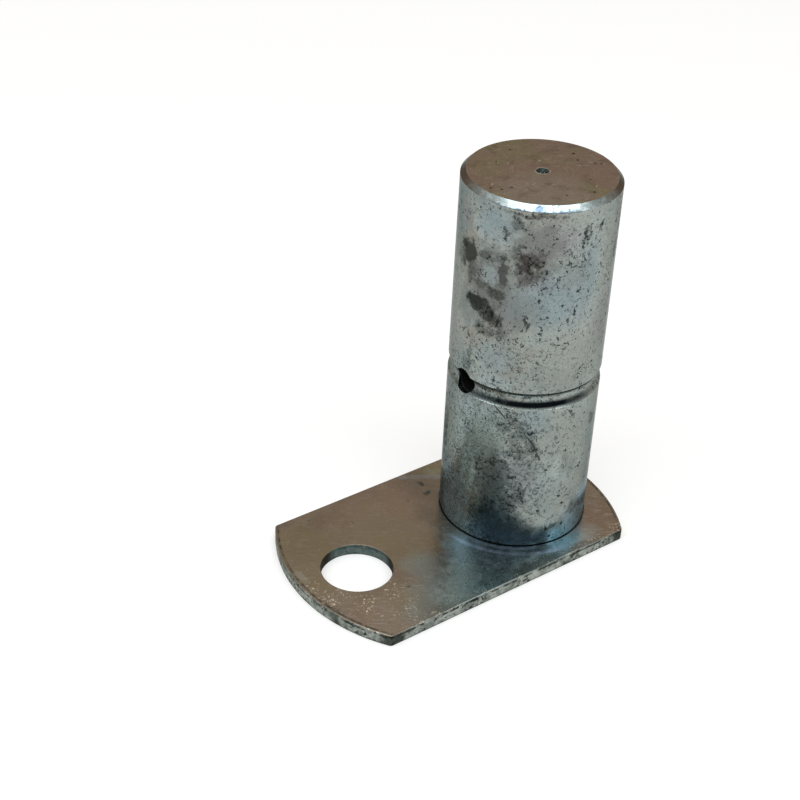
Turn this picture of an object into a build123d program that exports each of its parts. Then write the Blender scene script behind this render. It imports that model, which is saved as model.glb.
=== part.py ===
from build123d import *
import math
import os

# Quick attach tilt pin: a turned steel shaft welded into a flat retaining plate.
# Origin: on the shaft axis, in the plate's upper face, which is the face that seats on the machine.
# +Z runs along the shaft to its free end. The plate's bolt hole lies toward -X.

# Shaft
shaft_diameter = 38.1
shaft_reach = 95.5  # free end above the plate's upper face
free_end_chamfer = 1.25
shaft_setback = 0.4  # welded end above the plate's underside

# Lathe centre mark in the free end
centre_mark_diameter = 3.0
centre_mark_angle = 60.0  # whole cone
centre_pilot_diameter = 1.2
centre_pilot_depth = 1.4

# Grease groove round the shaft
groove_height = 43.8  # middle of the groove above the plate's upper face
groove_width = 4.65
groove_depth = 1.0

# Grease passage inside the shaft
grease_hole_diameter = 6.5
grease_hole_above_groove = 0.3  # its centre sits a little above the groove's middle
grease_hole_turn = 178.0  # degrees from +X, so it faces the bolt hole
feed_bore_diameter = 5.0
feed_bore_overrun = 1.5  # full bore past the top of the cross hole
drill_point_angle = 118.0
drill_tip_flat = 0.3  # width that a drill's chisel edge leaves at the bottom of its hole
tapped_depth = 7.0
pocket_diameter = 16.0

# Grease fitting in the welded end
fitting_thread_diameter = 6.35
fitting_thread_length = 5.2
thread_clearance = 0.05
fitting_hex_across_flats = 7.94
fitting_hex_height = 3.0
fitting_hex_chamfer = 0.45
fitting_collar_diameter = 6.6
fitting_collar_height = 0.9
fitting_neck_diameter = 4.8
fitting_neck_height = 1.3
fitting_head_diameter = 6.5
fitting_head_height = 2.6
fitting_cone_height = 0.85
fitting_nose_diameter = 3.4
fitting_ball_diameter = 2.2
fitting_ball_proud = 0.25
fitting_bore_diameter = 2.4
fitting_recess = 2.2  # nose of the fitting below the shaft's welded end

# Retaining plate
plate_thickness = 3.2
plate_side_wall = 6.35  # beside the shaft, each side
plate_heel_wall = 5.17  # behind the shaft
plate_toe_wall = 6.7  # beyond the bolt hole
plate_corner_radius = 1.2
plate_edge_round = 0.3  # worn edges of the outline and the bolt hole
bolt_hole_diameter = 18.0
bolt_hole_reach = 49.7  # from the shaft axis
shaft_clearance = 0.2  # between the shaft and the plate's bore

# Weld at the back of the plate
weld_root_gap = 0.8  # open root of the weld's groove, under the plate's upper face
weld_recess = 0.25  # weld below the plate's underside, so that the plate lies flat

shaft_radius = shaft_diameter / 2
plate_bore_radius = shaft_radius + shaft_clearance
underside = -plate_thickness
welded_end = underside + shaft_setback
weld_bevel = plate_thickness - shaft_setback
fitting_seat = (
    welded_end + fitting_recess + fitting_hex_height + fitting_collar_height
    + fitting_neck_height + fitting_head_height
)
grease_hole_height = groove_height + grease_hole_above_groove


def turned(outline):
    """Solid turned about the shaft axis from a closed outline of (radius, height) points."""
    return revolve(make_face(Plane.XZ * Polyline(outline, close=True)), Axis.Z)


def cone_depth(wide, narrow, whole_angle):
    """Height of a cone that narrows from one diameter to another."""
    return (wide - narrow) / 2 / math.tan(math.radians(whole_angle / 2))


def shaft_blank():
    """Bar with the chamfer at its free end, the grease groove and a weld bevel as deep as it sits in the plate."""
    lower_side = Polyline(
        (0, welded_end),
        (shaft_radius - weld_bevel, welded_end),
        (shaft_radius, welded_end + weld_bevel),
        (shaft_radius, groove_height - groove_width / 2),
    )
    groove = ThreePointArc(
        (shaft_radius, groove_height - groove_width / 2),
        (shaft_radius - groove_depth, groove_height),
        (shaft_radius, groove_height + groove_width / 2),
    )
    upper_side = Polyline(
        (shaft_radius, groove_height + groove_width / 2),
        (shaft_radius, shaft_reach - free_end_chamfer),
        (shaft_radius - free_end_chamfer, shaft_reach),
        (0, shaft_reach),
        (0, welded_end),
    )
    return revolve(make_face(Plane.XZ * (lower_side + groove + upper_side)), Axis.Z)


def centre_mark():
    """Cone and pilot that a centre drill leaves in the free end."""
    cone_bottom = shaft_reach - cone_depth(centre_mark_diameter, centre_pilot_diameter, centre_mark_angle)
    pilot_bottom = cone_bottom - centre_pilot_depth
    pilot_tip = pilot_bottom - cone_depth(centre_pilot_diameter, drill_tip_flat, drill_point_angle)
    return turned([
        (0, shaft_reach),
        (centre_mark_diameter / 2, shaft_reach),
        (centre_pilot_diameter / 2, cone_bottom),
        (centre_pilot_diameter / 2, pilot_bottom),
        (drill_tip_flat / 2, pilot_tip),
        (0, pilot_tip),
    ])


def grease_passage():
    """Pocket, tapped hole and feed bore from the welded end, and the cross hole into the groove."""
    tapped_radius = fitting_thread_diameter / 2 + thread_clearance
    feed_radius = feed_bore_diameter / 2
    tapped_top = fitting_seat + tapped_depth
    feed_top = grease_hole_height + grease_hole_diameter / 2 + feed_bore_overrun
    feed_tip = feed_top + cone_depth(feed_bore_diameter, drill_tip_flat, drill_point_angle)
    feed = turned([
        (0, welded_end),
        (pocket_diameter / 2, welded_end),
        (pocket_diameter / 2, fitting_seat),
        (tapped_radius, fitting_seat),
        (tapped_radius, tapped_top),
        (feed_radius, tapped_top),
        (feed_radius, feed_top),
        (drill_tip_flat / 2, feed_tip),
        (0, feed_tip),
    ])
    cross_hole = Cylinder(
        grease_hole_diameter / 2, shaft_radius, rotation=(0, 90, 0), align=(Align.CENTER, Align.CENTER, Align.MIN)
    )
    return feed + Pos(0, 0, grease_hole_height) * Rot(0, 0, grease_hole_turn) * cross_hole


def pin_shaft():
    return shaft_blank() - centre_mark() - grease_passage()


def flag_plate():
    """Disc with two parallel flats: its rounded ends clear the shaft's bore and the bolt hole."""
    heel = shaft_radius + plate_heel_wall
    toe = bolt_hole_reach + bolt_hole_diameter / 2 + plate_toe_wall
    width = shaft_diameter + 2 * plate_side_wall
    disc_radius = (heel + toe) / 2
    disc_middle = (heel - toe) / 2
    outline = Pos(disc_middle, 0) * (Circle(disc_radius) & Rectangle(2 * disc_radius, width))
    outline = fillet(outline.vertices(), plate_corner_radius)
    outline -= Pos(-bolt_hole_reach, 0) * Circle(bolt_hole_diameter / 2)
    plate = extrude(outline, amount=-plate_thickness)
    rims = plate.faces().filter_by(Axis.Z).edges()
    return fillet(rims, plate_edge_round) - extrude(Circle(plate_bore_radius), amount=-plate_thickness)


def weld_bead():
    """Ring of weld metal between the shaft's bevel and the plate's bore, open at its root."""
    return turned([
        (shaft_radius - weld_bevel, welded_end),
        (shaft_radius - weld_root_gap, -weld_root_gap),
        (plate_bore_radius, -weld_root_gap),
        (plate_bore_radius, underside + weld_recess),
    ])


def grease_fitting():
    """Bought-in fitting, screwed up into the tapped hole with its hexagon on the pocket's floor."""
    thread_radius = fitting_thread_diameter / 2
    collar_top = fitting_seat - fitting_hex_height - fitting_collar_height
    neck_end = collar_top - fitting_neck_height
    head_widest = neck_end - fitting_cone_height
    nose = neck_end - fitting_head_height
    body = turned([
        (0, fitting_seat + fitting_thread_length),
        (thread_radius, fitting_seat + fitting_thread_length),
        (thread_radius, fitting_seat),
        (fitting_collar_diameter / 2, fitting_seat),
        (fitting_collar_diameter / 2, collar_top),
        (fitting_neck_diameter / 2, collar_top),
        (fitting_neck_diameter / 2, neck_end),
        (fitting_head_diameter / 2, head_widest),
        (fitting_nose_diameter / 2, nose),
        (0, nose),
    ])
    corner_radius = fitting_hex_across_flats / 2 / math.cos(math.radians(30))
    hexagon = Pos(0, 0, fitting_seat) * extrude(RegularPolygon(corner_radius, 6), amount=-fitting_hex_height)
    trimmed = turned([
        (0, fitting_seat),
        (corner_radius, fitting_seat),
        (corner_radius, fitting_seat - fitting_hex_height + fitting_hex_chamfer),
        (fitting_hex_across_flats / 2 - fitting_hex_chamfer / 2, fitting_seat - fitting_hex_height),
        (0, fitting_seat - fitting_hex_height),
    ])
    ball_middle = nose - fitting_ball_proud + fitting_ball_diameter / 2
    ball = Pos(0, 0, ball_middle) * Sphere(fitting_ball_diameter / 2)
    bore_bottom = ball_middle + fitting_ball_diameter / 2
    bore = turned([
        (0, bore_bottom),
        (fitting_bore_diameter / 2, bore_bottom),
        (fitting_bore_diameter / 2, fitting_seat + fitting_thread_length),
        (0, fitting_seat + fitting_thread_length),
    ])
    return body + (hexagon & trimmed) + ball - bore


os.makedirs("parts", exist_ok=True)
export_step(pin_shaft(), "parts/pin_shaft.step")
export_step(flag_plate(), "parts/flag_plate.step")
export_step(weld_bead(), "parts/weld_bead.step")
export_step(grease_fitting(), "parts/grease_fitting.step")
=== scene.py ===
import math

import bpy
from mathutils import Matrix, Vector


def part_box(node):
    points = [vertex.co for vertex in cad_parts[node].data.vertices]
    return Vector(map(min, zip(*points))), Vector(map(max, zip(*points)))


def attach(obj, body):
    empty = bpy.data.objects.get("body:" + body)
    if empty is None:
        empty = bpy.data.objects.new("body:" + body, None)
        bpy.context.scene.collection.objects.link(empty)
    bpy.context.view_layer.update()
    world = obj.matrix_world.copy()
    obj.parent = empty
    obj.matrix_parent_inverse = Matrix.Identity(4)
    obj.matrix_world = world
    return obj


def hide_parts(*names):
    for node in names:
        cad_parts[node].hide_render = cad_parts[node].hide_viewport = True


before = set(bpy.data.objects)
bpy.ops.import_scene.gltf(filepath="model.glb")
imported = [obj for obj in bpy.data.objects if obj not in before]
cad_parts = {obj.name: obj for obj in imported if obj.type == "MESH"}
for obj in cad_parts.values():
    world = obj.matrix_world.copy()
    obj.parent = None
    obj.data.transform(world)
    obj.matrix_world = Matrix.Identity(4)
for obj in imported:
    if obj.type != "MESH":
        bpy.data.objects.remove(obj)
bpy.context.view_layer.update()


# Turned shaft
# A ground round bar of mild steel, turned with a chamfer, a grease groove and a cross hole, then
# zinc plated. The plating is blue-grey on the side and faintly gold on the end, the gold in part a
# painted reflection, with pits and stains, and painted reflections and shade low in front.

MM = 0.001
shaft_low, shaft_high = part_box("pin_shaft")
shaft_radius = shaft_high.x / MM
shaft_top = shaft_high.z / MM
shaft_foot = shaft_low.z / MM
end_chamfer = 1.25
chamfer_foot = shaft_top - end_chamfer
centre_mark_radius = 1.5
centre_mark_depth = 4.5
groove_middle = 43.8
pocket_radius = 8.0


def put(tree, kind, inputs=None, **settings):
    """A node with its settings made and its inputs set or linked."""
    made = tree.nodes.new(kind)
    for name, value in settings.items():
        setattr(made, name, value)
    for key, value in (inputs or {}).items():
        if isinstance(value, bpy.types.NodeSocket):
            tree.links.new(value, made.inputs[key])
        else:
            made.inputs[key].default_value = value
    return made


def maths(tree, operation, first, second=0.0, third=0.0, **settings):
    """The result of one arithmetic step on up to three values."""
    made = put(tree, "ShaderNodeMath", {0: first, 1: second, 2: third}, operation=operation, **settings)
    return made.outputs[0]


def product(tree, first, *others):
    """Several values multiplied together."""
    for other in others:
        first = maths(tree, "MULTIPLY", first, other)
    return first


def off(tree, value, middle):
    """How far a value is from a middle one, on either side."""
    return maths(tree, "ABSOLUTE", maths(tree, "SUBTRACT", value, middle))


def vector(tree, operation, first, second=(0.0, 0.0, 0.0), third=(0.0, 0.0, 0.0)):
    """One arithmetic step on places: a place, or a value for a length, a distance or a dot product."""
    made = put(tree, "ShaderNodeVectorMath", {0: first, 1: second, 2: third}, operation=operation)
    gives_value = operation in ("LENGTH", "DISTANCE", "DOT_PRODUCT")
    return made.outputs["Value" if gives_value else "Vector"]


def parts_of(tree, place):
    """The x, y and z of a place or a direction."""
    split = put(tree, "ShaderNodeSeparateXYZ", {0: place})
    return [split.outputs[axis] for axis in "XYZ"]


def joined(tree, x, y=0.0):
    """A place made of an x and a y."""
    return put(tree, "ShaderNodeCombineXYZ", {"X": x, "Y": y}).outputs[0]


def ramp(tree, value, low, high, start=0.0, end=1.0):
    """The value taken smoothly from one span to another."""
    return put(
        tree, "ShaderNodeMapRange",
        {"Value": value, "From Min": low, "From Max": high, "To Min": start, "To Max": end},
        interpolation_type="SMOOTHSTEP",
    ).outputs["Result"]


def tint(tree, amount, under, over, share=1.0):
    """One colour laid over another by a mask, in full or by a share of it."""
    under_socket, over_socket, result_socket = 6, 7, 2
    if share != 1.0:
        amount = product(tree, amount, share)
    made = put(tree, "ShaderNodeMix", {"Factor": amount}, data_type="RGBA")
    for key, colour in ((under_socket, under), (over_socket, over)):
        if isinstance(colour, bpy.types.NodeSocket):
            tree.links.new(colour, made.inputs[key])
        else:
            made.inputs[key].default_value = (*colour, 1.0)
    return made.outputs[result_socket]


def noise(tree, place, scale, detail=3.0, roughness=0.55, distortion=0.0, result="Fac"):
    """Noise as a value, or as three values at once with the result Color."""
    return put(tree, "ShaderNodeTexNoise", {
        "Vector": place, "Scale": scale, "Detail": detail, "Roughness": roughness, "Distortion": distortion,
    }).outputs[result]


def place_in_mm(tree, shift=(0.0, 0.0, 0.0), squeeze=(1.0, 1.0, 1.0)):
    """The place on the piece in millimetres, moved and squeezed."""
    place = put(tree, "ShaderNodeTexCoord").outputs["Object"]
    return vector(tree, "MULTIPLY_ADD", place, tuple(s / MM for s in squeeze), shift)


def clouds(tree, shift, grain, low, high, start=0.0, end=1.0):
    """Noise taken from one span to another. Its shift keeps two layers of clouds from matching."""
    return ramp(tree, noise(tree, place_in_mm(tree, shift), *grain), low, high, start, end)


def wandering(tree, place, scale, amount):
    """The place moved a little by noise, so that what is drawn there has an uneven outline."""
    drift = vector(tree, "SUBTRACT", noise(tree, place, scale, 5.0, 0.65, result="Color"), (0.5, 0.5, 0.5))
    return vector(tree, "MULTIPLY_ADD", drift, (amount, amount, amount), place)


def strongest(tree, masks):
    """The strongest of several masks."""
    total = masks[0]
    for mask in masks[1:]:
        total = maths(tree, "MAXIMUM", total, mask)
    return total


def new_effect(name, places, values):
    """An empty node group that makes a mask from its places and values."""
    group = bpy.data.node_groups.new(name, "ShaderNodeTree")
    for label in places:
        group.interface.new_socket(label, in_out="INPUT", socket_type="NodeSocketVector")
    for label, value in values.items():
        socket = group.interface.new_socket(label, in_out="INPUT", socket_type="NodeSocketFloat")
        socket.default_value = value
    group.interface.new_socket("Mask", in_out="OUTPUT", socket_type="NodeSocketFloat")
    start = group.nodes.new("NodeGroupInput")
    end = group.nodes.new("NodeGroupOutput")
    return group, start.outputs, end.inputs["Mask"]


def effect(tree, group, **inputs):
    """A node group placed in a material, with its inputs given by name."""
    named = {name.capitalize(): value for name, value in inputs.items()}
    return put(tree, "ShaderNodeGroup", named, node_tree=group).outputs[0]


def pitting_effect():
    """Small dark pits of ragged outline, crowded in some places and sparse in others."""
    group, given, mask = new_effect("pitting", ["Place"], {"Size": 1.0, "Amount": 0.5, "Crowding": 0.5})
    grains = noise(group, given["Place"], maths(group, "DIVIDE", 1.0, given["Size"]), 3.0, 0.66, 0.8)
    crowds = noise(group, given["Place"], maths(group, "DIVIDE", 0.13, given["Size"]), 3.0, 0.6)
    lift = product(group, maths(group, "SUBTRACT", crowds, 0.5), given["Crowding"])
    level = maths(group, "ADD", maths(group, "ADD", grains, lift), product(group, given["Amount"], 0.25))
    group.links.new(ramp(group, level, 0.69, 0.75), mask)
    return group


def crazing_effect():
    """Short crooked dark lines that run together in patches."""
    group, given, mask = new_effect("crazing", ["Place"], {"Size": 1.0, "Amount": 0.5})
    folds = noise(group, given["Place"], maths(group, "DIVIDE", 1.0, given["Size"]), 5.0, 0.72, 0.3)
    line = ramp(group, off(group, folds, 0.5), 0.036, 0.012)
    gap_scale = maths(group, "DIVIDE", 0.9, given["Size"])
    gap = parts_of(group, noise(group, given["Place"], gap_scale, 2.0, 0.5, result="Color"))[1]
    kept = ramp(group, maths(group, "ADD", gap, product(group, given["Amount"], 0.25)), 0.58, 0.64)
    group.links.new(product(group, line, kept), mask)
    return group


def stain_effect():
    """One soft patch with a broken edge, placed by its middle and its half sizes, for a stain or for painted
    light.
    """
    group, given, mask = new_effect(
        "stain", ["Place", "Middle", "Reach"],
        {"Breaking": 0.5, "Ragged": 0.6, "Softness": 0.5, "Strength": 1.0},
    )
    away = vector(group, "SUBTRACT", given["Place"], given["Middle"])
    far = vector(group, "LENGTH", vector(group, "DIVIDE", away, given["Reach"]))
    shift = product(group, maths(group, "SUBTRACT", given["Breaking"], 0.5), given["Ragged"])
    edge = maths(group, "ADD", far, product(group, shift, 5.0))
    outer = maths(group, "ADD", 1.0, given["Softness"])
    inner = maths(group, "SUBTRACT", 1.0, given["Softness"])
    group.links.new(product(group, ramp(group, edge, outer, inner), given["Strength"]), mask)
    return group


def scratch_effect():
    """One fine scratch between two points, with a width that wanders."""
    group, given, mask = new_effect(
        "scratch", ["Place", "Start", "End"], {"Width": 0.3, "Wander": 0.5, "Strength": 1.0},
    )
    from_start = vector(group, "SUBTRACT", given["Place"], given["Start"])
    line = vector(group, "SUBTRACT", given["End"], given["Start"])
    along = vector(group, "DOT_PRODUCT", from_start, line)
    share = maths(group, "DIVIDE", along, vector(group, "DOT_PRODUCT", line, line), use_clamp=True)
    reached = put(group, "ShaderNodeVectorMath", {0: line, "Scale": share}, operation="SCALE").outputs[0]
    aside = vector(group, "DISTANCE", from_start, reached)
    spread = product(group, given["Width"], ramp(group, given["Wander"], 0.35, 0.65, 0.35, 1.1))
    drawn = ramp(group, maths(group, "DIVIDE", aside, spread), 1.0, 0.4)
    group.links.new(product(group, drawn, given["Strength"]), mask)
    return group


pitting = pitting_effect()
crazing = crazing_effect()
stain = stain_effect()
scratch = scratch_effect()


def pitted(tree, shift, size, amount, crowding):
    """A field of pits over the whole piece."""
    return effect(tree, pitting, place=place_in_mm(tree, shift), size=size, amount=amount, crowding=crowding)


def spot(tree, place, breaking, middle, reach, ragged, strength=1.0, softness=0.5):
    """The mask of one stain or one patch of painted light."""
    return effect(tree, stain, place=place, middle=middle, reach=reach, breaking=breaking,
                  ragged=ragged, softness=softness, strength=strength)


def patches(tree, table, lay, place, breaking, softness=0.5):
    """The mask of a table of stains or of patches of painted light. The lay turns a row's sizes into a
    middle and a reach.
    """
    return strongest(tree, [
        spot(tree, place, breaking, *lay(*sizes), ragged, strength, softness)
        for *sizes, ragged, strength in table
    ])


def new_finish(name):
    """A new material with its node tree and its surface shader."""
    finish = bpy.data.materials.new(name)
    finish.use_nodes = True
    tree = finish.node_tree
    tree.nodes.clear()
    surface = tree.nodes.new("ShaderNodeBsdfPrincipled")
    output = tree.nodes.new("ShaderNodeOutputMaterial")
    tree.links.new(surface.outputs["BSDF"], output.inputs["Surface"])
    return finish, tree, surface


def lay_on(tree, surface, colour, rough, relief, strength, depth):
    """The colour, the roughness and the fine relief joined to the surface shader."""
    raised = put(tree, "ShaderNodeBump", {"Height": relief, "Strength": strength, "Distance": depth})
    tree.links.new(colour, surface.inputs["Base Color"])
    tree.links.new(rough, surface.inputs["Roughness"])
    tree.links.new(raised.outputs[0], surface.inputs["Normal"])


def round_the_shaft(turn, height, out=0.0):
    """A point on the shaft's side, in millimetres, from its turn in degrees and its height."""
    angle = math.radians(turn)
    radius = shaft_radius + out
    return (radius * math.cos(angle), radius * math.sin(angle), height)


def on_the_side(turn, height, wide, tall):
    """Where a stain or a patch of painted light lies on the shaft's side, and how far it reaches."""
    return round_the_shaft(turn, height), (wide, wide, tall)


# Dark stains on the side, the tall rows low in front near turn 210 below height 27 being a painted dark
# reflection: turn in degrees from +X, height, half width, half height, ragged, strength
shaft_stains_and_reflection = [
    (181, 75.5, 1.2, 2.6, 0.6, 0.55),
    (188, 72.8, 3, 0.9, 0.6, 0.5),
    (191, 80.6, 3.4, 0.9, 0.6, 0.45),
    (206, 82, 0.8, 2.4, 0.8, 0.5),
    (218, 84.6, 2.4, 0.7, 0.7, 0.62),
    (231.5, 78.6, 1.6, 1.4, 0.8, 0.55),
    (201.5, 64.2, 2.6, 3.2, 0.65, 0.88),
    (195, 61.4, 3, 1.6, 0.8, 0.62),
    (207, 61.6, 2, 2.2, 1, 0.55),
    (295, 33.5, 1.6, 1.2, 0.8, 0.55),
    (151, 31, 1.6, 4.5, 0.8, 0.55),
    (231, 44.7, 2.2, 0.5, 0.9, 0.66),
    (232, 71.7, 0.75, 0.45, 0.4, 0.98),
    (256.5, 66.2, 0.55, 0.6, 0.4, 0.95),
    (205.5, 87.2, 0.6, 1.2, 0.8, 0.85),
    (183.5, 86.2, 0.4, 0.6, 0.6, 0.8),
    (225, 93.2, 7, 0.5, 0.7, 0.62),
    (214, 91, 1.6, 1.6, 1, 0.45),
    (262.5, 89, 0.5, 2.6, 1.1, 0.62),
    (266, 86, 0.6, 1.4, 1.1, 0.6),
    (276, 89.5, 1, 0.8, 1.1, 0.7),
    (268, 82, 0.6, 1.6, 1.1, 0.6),
    (302, 80, 1.6, 2.2, 0.9, 0.5),
    (306, 88, 1.4, 3.2, 0.9, 0.5),
    (210, 17, 3.6, 10, 0.25, 0.9),
    (202, 20, 2.4, 7, 0.45, 0.76),
    (214, 16, 2.6, 5, 0.4, 0.5),
    (214, 8, 3.4, 6, 0.2, 0.6),
    (165, 77, 1.6, 2.4, 0.7, 0.45),
    (184, 10.5, 3.2, 2, 0.9, 0.66),
    (181, 15, 2.2, 3, 0.8, 0.4),
    (221, 36.4, 3.4, 2, 0.8, 0.7),
    (231, 34, 2.4, 2, 0.7, 0.7),
    (237.5, 30.8, 1.6, 2.6, 0.7, 0.66),
    (227, 29, 2.6, 3.4, 0.9, 0.55),
    (183, 51, 0.9, 4.5, 0.35, 0.55),
    (179, 49, 1, 3, 0.5, 0.4),
    (152, 26, 2.4, 7, 0.6, 0.72),
    (148, 17, 4, 7, 0.35, 0.4),
    (260, 4.9, 1.7, 0.9, 0.6, 0.97),
    (256.5, 3.7, 0.7, 0.9, 0.8, 0.75),
    (288, 23.6, 1, 0.5, 0.5, 0.8),
    (60, 70, 3.5, 5, 0.8, 0.6),
    (20, 28, 4, 6, 0.7, 0.55),
    (110, 82, 3, 3, 0.8, 0.6),
    (95, 20, 5, 7, 0.8, 0.55),
    (345, 60, 2.5, 3.5, 0.9, 0.5),
]

# Stains with a firmer edge, and brown ones, in the same terms; the two low brown rows are a painted dark
# reflection
shaft_firm_stains = [
    (186, 67.6, 3.6, 2.1, 0.14, 0.96),
    (175, 79.4, 2.5, 3.2, 0.25, 0.86),
    (169.5, 78, 0.9, 3.4, 0.4, 0.62),
    (202, 71.8, 2.3, 1.5, 0.12, 0.64),
    (224.8, 65.9, 0.38, 1.3, 0.6, 0.9),
    (227.4, 64.4, 0.4, 1.1, 0.6, 0.85),
    (222.6, 63.4, 0.34, 0.6, 0.6, 0.8),
    (206.5, 77.5, 1.1, 4.2, 0.5, 0.62),
    (197.5, 65.6, 2.2, 1.4, 0.35, 0.7),
]
shaft_brown_stains_and_reflection = [
    (224.5, 80.6, 2.8, 3.8, 0.6, 0.96),
    (220, 77.4, 2.4, 2, 0.7, 0.7),
    (225, 14.2, 3.8, 5.4, 0.7, 0.96),
    (220, 21.5, 2.8, 4.6, 0.8, 0.86),
]

# Parts of the side with many dark flecks, in the same terms
shaft_fleck_zones = [
    (251, 77, 9, 15, 0.3, 0.88),
    (206, 60, 6, 5, 0.4, 0.6),
    (226, 33, 6, 8, 0.4, 0.7),
    (228, 14, 5, 8, 0.4, 0.8),
    (184, 10, 5, 5, 0.4, 0.7),
    (232, 90, 9, 3, 0.4, 0.8),
]

# Dull and tinted parts of the plating, in the same terms
shaft_haze = [
    (196, 74, 6.4, 8.5, 0.35, 0.82),
    (204.5, 77.5, 2.6, 5, 0.35, 0.7),
    (228, 84, 6.5, 8, 0.4, 0.58),
    (178, 66, 4, 5, 0.5, 0.4),
    (214, 67, 4.6, 5.5, 0.5, 0.52),
    (257, 78, 4, 5, 0.5, 0.32),
    (228, 69, 3.5, 3.5, 0.5, 0.32),
    (158, 14, 5, 6, 0.35, 0.36),
    (150, 23, 4, 5, 0.4, 0.5),
    (187, 77, 3.4, 3.8, 0.5, 0.55),
    (213, 76, 3, 4, 0.5, 0.45),
    (220, 18, 4, 8, 0.4, 0.45),
    (296, 15, 3, 3.5, 0.4, 0.24),
    (272, 23, 2.5, 4, 0.5, 0.42),
    (235, 23, 3.4, 4, 0.5, 0.52),
    (250, 49, 6, 4, 0.5, 0.22),
    (190, 41, 6, 1.6, 0.5, 0.4),
    (262, 14, 7, 6, 0.4, 0.26),
]
shaft_violet_tints = [
    (237, 87, 6.5, 4, 0.35, 0.6),
    (237, 75, 4, 2.6, 0.45, 0.5),
    (206, 65, 4, 4, 0.4, 0.55),
    (228, 20, 4.5, 9, 0.3, 0.55),
    (165, 88, 3, 4, 0.4, 0.4),
    (290, 62, 4, 8, 0.4, 0.4),
]
shaft_blue_tints = [
    (244, 71, 8, 7, 0.3, 0.7),
    (222, 70, 5, 5, 0.35, 0.55),
    (206, 55, 5, 4, 0.35, 0.45),
    (198, 90, 4.5, 3.5, 0.35, 0.65),
    (268, 76, 3, 10, 0.3, 0.6),
    (241, 38, 4, 4, 0.35, 0.6),
]
shaft_green_tints = [
    (199, 32, 4, 8, 0.3, 0.7),
    (178, 30, 3.5, 6, 0.4, 0.4),
]
shaft_straw_tints = [
    (258, 54, 9.5, 8.5, 0.4, 0.5),
    (262, 32, 8, 7, 0.4, 0.6),
    (236, 54, 6, 4, 0.5, 0.4),
    (224, 88, 3, 2.5, 0.5, 0.4),
]
# Painted reflection of the plate round the foot, in the same terms
shaft_foot_green_reflection = [
    (188, 19, 2, 7.5, 0.3, 0.8),
    (183, 12, 3, 5, 0.35, 0.6),
    (174, 10, 3.4, 4.5, 0.3, 0.45),
]
shaft_foot_navy_reflection = [
    (220, 3.6, 7, 6.2, 0.12, 0.94),
    (210, 6, 5, 7, 0.15, 0.88),
    (203, 2.5, 4, 4.5, 0.25, 0.84),
    (237, 2, 6, 3.8, 0.15, 0.9),
    (250, 2, 5.8, 3, 0.2, 0.86),
    (261, 1.6, 4, 2.4, 0.2, 0.66),
]
shaft_foot_blue_reflection = [
    (272, 2, 4, 3, 0.16, 0.42),
    (283, 3.4, 4.2, 3.8, 0.16, 0.8),
    (295, 2.8, 4.4, 3, 0.16, 0.76),
    (175, 4, 5.5, 4.4, 0.2, 0.62),
]
shaft_foot_grey_reflection = [
    (153, 3, 8, 7, 0.1, 0.85),
    (168, 5, 6, 8, 0.1, 0.85),
    (180, 8, 4.5, 7, 0.2, 0.76),
    (300, 5, 8, 7, 0.12, 0.95),
]

# Pale blue-grey patches where the plating is thick, in the same terms
shaft_bright_patches = [
    (206, 47.5, 5, 2.6, 0.4, 0.55),
    (194, 33.5, 6.5, 9, 0.4, 0.68),
    (214.5, 78, 1, 6, 0.3, 0.34),
    (190, 87.5, 3.4, 3.6, 0.5, 0.34),
    (207, 87.5, 3, 3.2, 0.45, 0.28),
    (250, 73, 6.5, 6, 0.4, 0.3),
    (244, 61, 5, 4, 0.5, 0.22),
    (192, 50.5, 5, 5.5, 0.5, 0.3),
    (240, 37, 4, 5, 0.45, 0.34),
    (262, 26, 5, 10, 0.5, 0.3),
    (273, 76, 3.4, 14, 0.3, 0.34),
]

# Pale grey parts towards the sides, in the same terms
shaft_pale_parts = [
    (156, 60, 5, 16, 0.4, 0.62),
    (299, 58, 5.5, 26, 0.3, 0.85),
    (299, 89, 4, 5, 0.3, 0.6),
]

# Fine scratches on the side: start turn and height, end turn and height, width
shaft_scratches = [
    (208.2, 41.4, 212.6, 40.1, 0.34),
    (212.6, 40.1, 217, 38.4, 0.26),
    (232, 34.6, 239, 31.6, 0.4),
    (239, 31.6, 245.2, 26.9, 0.46),
    (30, 52, 41, 49.5, 0.22),
    (120, 33, 123.5, 24, 0.22),
]

# Pits on the end face: x, y and radius
end_face_pits = [
    (12.5, 3.4, 0.36), (11, 0.1, 0.36), (13.3, -3.3, 0.32), (14.3, -4.4, 0.32), (6.4, -9.4, 0.24),
    (-16, -0.7, 0.36), (-14.3, -2.5, 0.32), (-11.7, -2.9, 0.34), (2.8, -14.8, 0.44), (-3.7, -12.7, 0.28),
    (1, 13, 0.32), (-6, 9.5, 0.28),
]

# Short light strokes on the end face: the x and y of both ends
end_face_strokes = [
    (9.6, -2.2, 10.8, -3.4), (9, -2, 9.4, -2.6), (12.4, -2.4, 13.6, -3.2), (-4.6, 7.2, -3.6, 7.8),
    (-6.2, 8.8, -5.6, 9.6), (-3.2, -7, -2.2, -6.8), (-6.8, -4.4, -5.8, -4.2), (-14.8, 0.4, -14.2, 0.9),
    (5, -13, 5.8, -12.4), (2, 4.2, 3.2, 4.6),
]


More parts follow.
